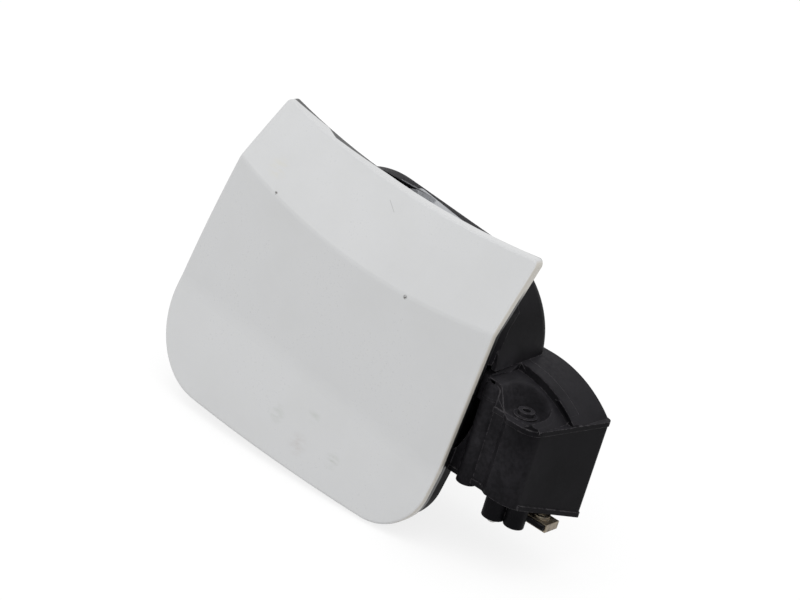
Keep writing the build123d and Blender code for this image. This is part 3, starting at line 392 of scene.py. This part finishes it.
yellow_zinc, zinc_tree, zinc_shader = new_finish("yellow_zinc", ZINC_SPECULAR)
zinc_shader.inputs["Metallic"].default_value = ZINC_METAL
zinc_place = object_place(zinc_tree)
hue = span(zinc_tree, noise(zinc_tree, zinc_place, HUE_GRAIN, 3), *HUE_REACH)
tarnish = span(zinc_tree, noise(zinc_tree, zinc_place, TARNISH_GRAIN, 5, 0.7), *TARNISH_REACH)
zinc_colour = tint(zinc_tree, hue, ZINC_STRAW, ZINC_ROSE)
zinc_colour = tint(zinc_tree, tarnish, zinc_colour, ZINC_WORN)
zinc_rough = span(zinc_tree, tarnish, 0, 1, *ZINC_ROUGH)
zinc_grain = noise(zinc_tree, zinc_place, ZINC_GRAIN, 2)
zinc_soft, _ = rounded_edge(zinc_tree, ZINC_EDGE)
surface(zinc_tree, zinc_shader, zinc_colour, zinc_rough, zinc_grain, ZINC_BUMP, ZINC_DEPTH, zinc_soft)
dress(yellow_zinc, "spring_nuts")


# Hinge pin, push-on washers, leaf spring and screws: bright drawn steel and spring strip.
# The drawing lines run along the pin, and the faces are lightly oiled and spotted.
# The pin is driven through both ears of the box, and the spring lies between wall and knuckle.
STEEL_BRIGHT = (0.46, 0.46, 0.45)
STEEL_SPOTTED = (0.20, 0.18, 0.16)
STEEL_SPECULAR, STEEL_METAL, STEEL_EDGE = 0.5, 1.0, 0.0003
DRAWN_GRAIN, DRAWN_ROUGH = (2600, 2600, 60), (0.3, 0.7, 0.24, 0.4)
SPOT_GRAIN, SPOT_REACH, SPOT_ROUGH = 420, (0.55, 0.70), 0.25
STEEL_BUMP, STEEL_DEPTH = 0.1, 0.0001

steel, steel_tree, steel_shader = new_finish("steel", STEEL_SPECULAR)
steel_shader.inputs["Metallic"].default_value = STEEL_METAL
steel_place = object_place(steel_tree)
drawn = noise(steel_tree, stretched(steel_tree, steel_place, DRAWN_GRAIN), 1.0, 3)
spots = span(steel_tree, noise(steel_tree, steel_place, SPOT_GRAIN, 5, 0.7), *SPOT_REACH)
steel_colour = tint(steel_tree, spots, STEEL_BRIGHT, STEEL_SPOTTED)
steel_rough = span(steel_tree, drawn, *DRAWN_ROUGH)
steel_rough = calc(steel_tree, "ADD", steel_rough, times(steel_tree, spots, SPOT_ROUGH))
steel_soft, _ = rounded_edge(steel_tree, STEEL_EDGE)
surface(steel_tree, steel_shader, steel_colour, steel_rough, drawn, STEEL_BUMP, STEEL_DEPTH, steel_soft)
dress(steel, "hinge_pin", "pin_retainer", "hinge_spring", "skin_retainers", "striker_screws", "holder_screws")


# Carrier with gooseneck, and the cap holder: glass-filled nylon, black and a little duller than
# the housing. The carrier is clamped to the pins of the skin and swings on the hinge pin,
# and the holder, a plain hook for the fuel cap, is screwed to its back.
NYLON_DEEP = (0.0105, 0.0105, 0.0115)
NYLON_FIBRE = (0.030, 0.030, 0.032)
NYLON_DUSTED = (0.034, 0.033, 0.034)
# Pale edge colour: partly rubbed wear, partly a painted highlight.
NYLON_EDGE_WEAR_AND_HIGHLIGHT = (0.12, 0.12, 0.12)
NYLON_ROUGH, NYLON_SPECULAR = 0.5, 0.18

black_nylon = moulded(
    "black_nylon", NYLON_DEEP, NYLON_FIBRE, NYLON_DUSTED, NYLON_EDGE_WEAR_AND_HIGHLIGHT, NYLON_ROUGH, NYLON_SPECULAR
)
dress(black_nylon, "hinge_arm", "cap_holder")


# Painted skin: a moulded panel sprayed with white body paint under clear lacquer, primer grey behind.
# The ridge is nicked, a hair scratch crosses the top, road film lies in patches all over, and most smudges sit
# low down.
# The hinge-side rim is tinted a darker warm grey as painted shade, and the rim is bare to the black base along
# part of its top and its hinge side.
WHITE = (0.600, 0.606, 0.612)
WHITE_FILM = (0.535, 0.540, 0.535)
# Warm grey for the dust specks, and for the painted shade on the hinge-side rim.
DUST_AND_RIM_SHADE = (0.545, 0.520, 0.470)
PRIMER = (0.17, 0.17, 0.17)
NICK_DARK = (0.10, 0.095, 0.09)
BASE_BLACK = (0.003, 0.003, 0.0035)
PAINT_SPECULAR, LACQUER, LACQUER_ROUGH = 0.5, 0.35, 0.09
PAINT_GRAIN, FILM_GRAIN, DUST_GRAIN, PEEL_GRAIN = 900, 26, 1900, 620
FILM_REACH, FILM_FINE, FILM_SHARE = (0.45, 0.72), (0.3, 0.7, 0.5, 1.0), 0.35
SMEAR_GRAIN, SMEAR_REACH = (150, 150, 420), (0.42, 0.6)
SMUDGES = (
    ((-0.0187, -0.0626, -0.0601), 0.0060, (0.43, 0.45, 0.42), 0.55),
    ((0.0012, -0.0604, -0.0516), 0.0045, (0.43, 0.45, 0.42), 0.50),
    ((0.0195, -0.0621, -0.0660), 0.0050, (0.42, 0.44, 0.41), 0.55),
    ((-0.0016, -0.0636, -0.0678), 0.0065, (0.47, 0.44, 0.43), 0.50),
    ((-0.0657, -0.0494, 0.0464), 0.0070, (0.60, 0.58, 0.50), 0.60),
)
NICKS = (((-0.0603, -0.0536, 0.0362), 0.0011), ((0.0300, -0.0575, 0.0251), 0.0013))
NICK_FINE = (0.42, 0.5)
SCRATCH = ((-0.0010, -0.0458, 0.0584), (0.0040, -0.0472, 0.0547))
SCRATCH_HALF, SCRATCH_SHARE = 0.00022, 0.35
MARK_CORE = 0.4
DUST_SPECKS = (0.70, 0.76, 0.0, 0.35)
RIM_SHADE_FACING, BARE_FACING, BACK_FACING = (0.45, 0.85), (0.5, 0.8), (0.35, 0.6)
BARE_LEFT, BARE_WIDEST, BARE_RIGHT = -0.0540, -0.0455, -0.0100
BARE_WIDTH, BARE_SOFT = 0.0034, 0.0003
RIM_BACK = (-0.0352, -0.0380)
SIDE_BARE, SIDE_BARE_TOP = 0.0024, (0.052, 0.046)
SIDE_BACK = (
    (-0.064, -0.046, -0.05110, -0.04835),
    (-0.046, 0.026, 0.0, -0.00157),
    (0.028, 0.056, 0.0, 0.00925),
)
PAINT_ROUGH, FILM_ROUGH = (0.3, 0.7, 0.26, 0.33), 0.12
PEEL_BUMP, PEEL_DEPTH = 0.04, 0.0003


def off_line(tree, place, start, end):
    run = Vector(end) - Vector(start)
    out = wire(tree, "VectorMath", {0: place, 1: start}, operation="SUBTRACT").outputs[0]
    along = wire(tree, "VectorMath", {0: out, 1: tuple(run)}, operation="DOT_PRODUCT").outputs["Value"]
    share = span(tree, along, 0.0, run.length_squared)
    foot = wire(tree, "VectorMath", {0: tuple(run), "Scale": share}, operation="SCALE").outputs[0]
    return wire(tree, "VectorMath", {0: out, 1: foot}, operation="DISTANCE").outputs["Value"]


def behind(tree, depth, back, width):
    past = calc(tree, "ADD", calc(tree, "SUBTRACT", depth, back), width)
    return span(tree, past, 0.0, BARE_SOFT)


white_paint, paint, paint_shader = new_finish("white_paint", PAINT_SPECULAR, LACQUER, LACQUER_ROUGH)
paint_place = object_place(paint)
paint_axes = wire(paint, "SeparateXYZ", {0: paint_place}).outputs
paint_fine = noise(paint, paint_place, PAINT_GRAIN, 4, 0.65)
paint_film = noise(paint, paint_place, FILM_GRAIN, 5, 0.6)
film = times(paint, span(paint, paint_film, *FILM_REACH), span(paint, paint_fine, *FILM_FINE))
paint_colour = tint(paint, times(paint, film, FILM_SHARE), WHITE, WHITE_FILM)

smear = noise(paint, stretched(paint, paint_place, SMEAR_GRAIN), 1.0, 4, 0.6)
for centre, reach, colour, strength in SMUDGES:
    near = span(paint, apart(paint, paint_place, centre), reach, 0.0, 0.0, strength)
    paint_colour = tint(paint, times(paint, near, span(paint, smear, *SMEAR_REACH)), paint_colour, colour)
for centre, reach in NICKS:
    near = span(paint, apart(paint, paint_place, centre), reach, reach * MARK_CORE)
    nicked = times(paint, near, span(paint, paint_fine, *NICK_FINE))
    paint_colour = tint(paint, nicked, paint_colour, NICK_DARK)
scratch = off_line(paint, paint_place, *SCRATCH)
hair = span(paint, scratch, SCRATCH_HALF, SCRATCH_HALF * MARK_CORE, 0.0, SCRATCH_SHARE)
paint_colour = tint(paint, hair, paint_colour, NICK_DARK)
dust = span(paint, noise(paint, paint_place, DUST_GRAIN, 2), *DUST_SPECKS)
paint_colour = tint(paint, dust, paint_colour, DUST_AND_RIM_SHADE)
# Painted shade: faces turned towards +X, the hinge-side rim, are tinted darker and warmer.
paint_colour = tint(paint, span(paint, facing(paint, "X"), *RIM_SHADE_FACING), paint_colour, DUST_AND_RIM_SHADE)

widening = span(paint, paint_axes["X"], BARE_LEFT, BARE_WIDEST, 0.0, BARE_WIDTH)
narrowing = span(paint, paint_axes["X"], BARE_WIDEST, BARE_RIGHT, BARE_WIDTH, 0.0)
bare_width = calc(paint, "MINIMUM", widening, narrowing)
rim_back = span(paint, paint_axes["X"], BARE_LEFT, BARE_RIGHT, *RIM_BACK)
top_bare = behind(paint, paint_axes["Y"], rim_back, bare_width)
top_bare = times(paint, top_bare, span(paint, facing(paint, "Z"), *BARE_FACING))
low_back, middle_back, high_back = (span(paint, paint_axes["Z"], *ends) for ends in SIDE_BACK)
side_back = calc(paint, "ADD", calc(paint, "ADD", low_back, middle_back), high_back)
side_bare = behind(paint, paint_axes["Y"], side_back, SIDE_BARE)
side_bare = times(paint, side_bare, span(paint, facing(paint, "X"), *BARE_FACING))
side_bare = times(paint, side_bare, span(paint, paint_axes["Z"], *SIDE_BARE_TOP))
bare = calc(paint, "MAXIMUM", top_bare, side_bare)
paint_colour = tint(paint, bare, paint_colour, BASE_BLACK)
paint_colour = tint(paint, span(paint, facing(paint, "Y"), *BACK_FACING), paint_colour, PRIMER)

paint_rough = span(paint, paint_fine, *PAINT_ROUGH)
paint_rough = calc(paint, "ADD", paint_rough, times(paint, film, FILM_ROUGH))
orange_peel = noise(paint, paint_place, PEEL_GRAIN, 2)
surface(paint, paint_shader, paint_colour, paint_rough, orange_peel, PEEL_BUMP, PEEL_DEPTH)
dress(white_paint, "outer_skin")


# Floor and light: a pale table top, a white surround and three soft boxes.
# Camera and mirror rays see the floor and surround as plain white, and the floor keeps the shadow.
FLOOR_DROP, FLOOR_HALF = 0.0015, 5.0
FLOOR_CORNERS = ((-1, -1), (1, -1), (1, 1), (-1, 1))
TABLE_LIT, TABLE_SEEN, TABLE_GLOW = (0.62, 0.62, 0.62), (0.22, 0.22, 0.22), 0.80
SURROUND = 0.88
PLAIN_WHITE = (1, 1, 1, 1)
LAMP_AIM = (0, -0.05, 0)
SOFT_BOXES = (
    ("overhead_box", (-0.1, -0.5, 1.5), 1.1, 4.5),
    ("left_box", (-1.1, -1.1, 0.8), 0.9, 2.0),
    ("right_box", (0.9, -1.3, 0.25), 0.9, 2.6),
)


def seen_rays(tree):
    path = wire(tree, "LightPath", {}).outputs
    seen = calc(tree, "MAXIMUM", path["Is Camera Ray"], path["Is Glossy Ray"])
    return calc(tree, "MAXIMUM", seen, path["Is Transmission Ray"])


floor_height = cad_box[0][2] - FLOOR_DROP
floor_mesh = bpy.data.meshes.new("floor")
floor_corners = [(FLOOR_HALF * x, FLOOR_HALF * y, floor_height) for x, y in FLOOR_CORNERS]
floor_mesh.from_pydata(floor_corners, [], [(0, 1, 2, 3)])
floor = bpy.data.objects.new("floor", floor_mesh)
bpy.context.collection.objects.link(floor)

table_top, table, table_shader = new_finish("table_top", 0.0)
table_shader.inputs["Roughness"].default_value = 1.0
table_shader.inputs["Emission Color"].default_value = PLAIN_WHITE
looked_at = seen_rays(table)
table.links.new(tint(table, looked_at, TABLE_LIT, TABLE_SEEN), table_shader.inputs["Base Color"])
table.links.new(span(table, looked_at, 0, 1, 0.0, TABLE_GLOW), table_shader.inputs["Emission Strength"])
floor_mesh.materials.append(table_top)

world = bpy.data.worlds.new("surround")
bpy.context.scene.world = world
world.use_nodes = True
sky = world.node_tree
backdrop = sky.nodes["Background"]
backdrop.inputs["Color"].default_value = PLAIN_WHITE
sky.links.new(span(sky, seen_rays(sky), 0, 1, SURROUND, 1.0), backdrop.inputs["Strength"])

for name, place, size, power in SOFT_BOXES:
    lamp = bpy.data.lights.new(name, "AREA")
    lamp.shape = "SQUARE"
    lamp.size = size
    lamp.energy = power
    stand = bpy.data.objects.new(name, lamp)
    bpy.context.collection.objects.link(stand)
    stand.location = place
    stand.rotation_euler = (Vector(LAMP_AIM) - Vector(place)).to_track_quat("-Z", "Y").to_euler()


# Camera: a long lens from the front right and above, rolled as the photograph was.
# The neck axis falls left of the middle of the frame.
AZIMUTH, ELEVATION, ROLL = radians(34), radians(22), radians(16.3)
FRAME_WIDTH, FRAME_HEIGHT = 800, 600
FOCAL_PIXELS, PIXELS_PER_METRE = 2200, 2150
SENSOR_WIDTH = 36
AIM = Vector((0, -0.06, 0))
AIM_ACROSS, AIM_DOWN = 340, 318

towards = Vector((sin(AZIMUTH) * cos(ELEVATION), -cos(AZIMUTH) * cos(ELEVATION), sin(ELEVATION)))
level = Vector((0, 0, 1)).cross(towards).normalized()
upright = towards.cross(level)
right = cos(ROLL) * level + sin(ROLL) * upright
up = cos(ROLL) * upright - sin(ROLL) * level
slide = (FRAME_WIDTH / 2 - AIM_ACROSS) / FOCAL_PIXELS
lift = (AIM_DOWN - FRAME_HEIGHT / 2) / FOCAL_PIXELS
lens = bpy.data.cameras.new("camera")
lens.sensor_width = SENSOR_WIDTH
lens.lens = FOCAL_PIXELS * SENSOR_WIDTH / FRAME_WIDTH
camera = bpy.data.objects.new("camera", lens)
bpy.context.collection.objects.link(camera)
stand_point = AIM + FOCAL_PIXELS / PIXELS_PER_METRE * (towards + slide * right + lift * up)
camera.matrix_world = Matrix.Translation(stand_point) @ Matrix((right, up, towards)).transposed().to_4x4()
bpy.context.scene.camera = camera
bpy.context.scene.view_settings.view_transform = "Standard"
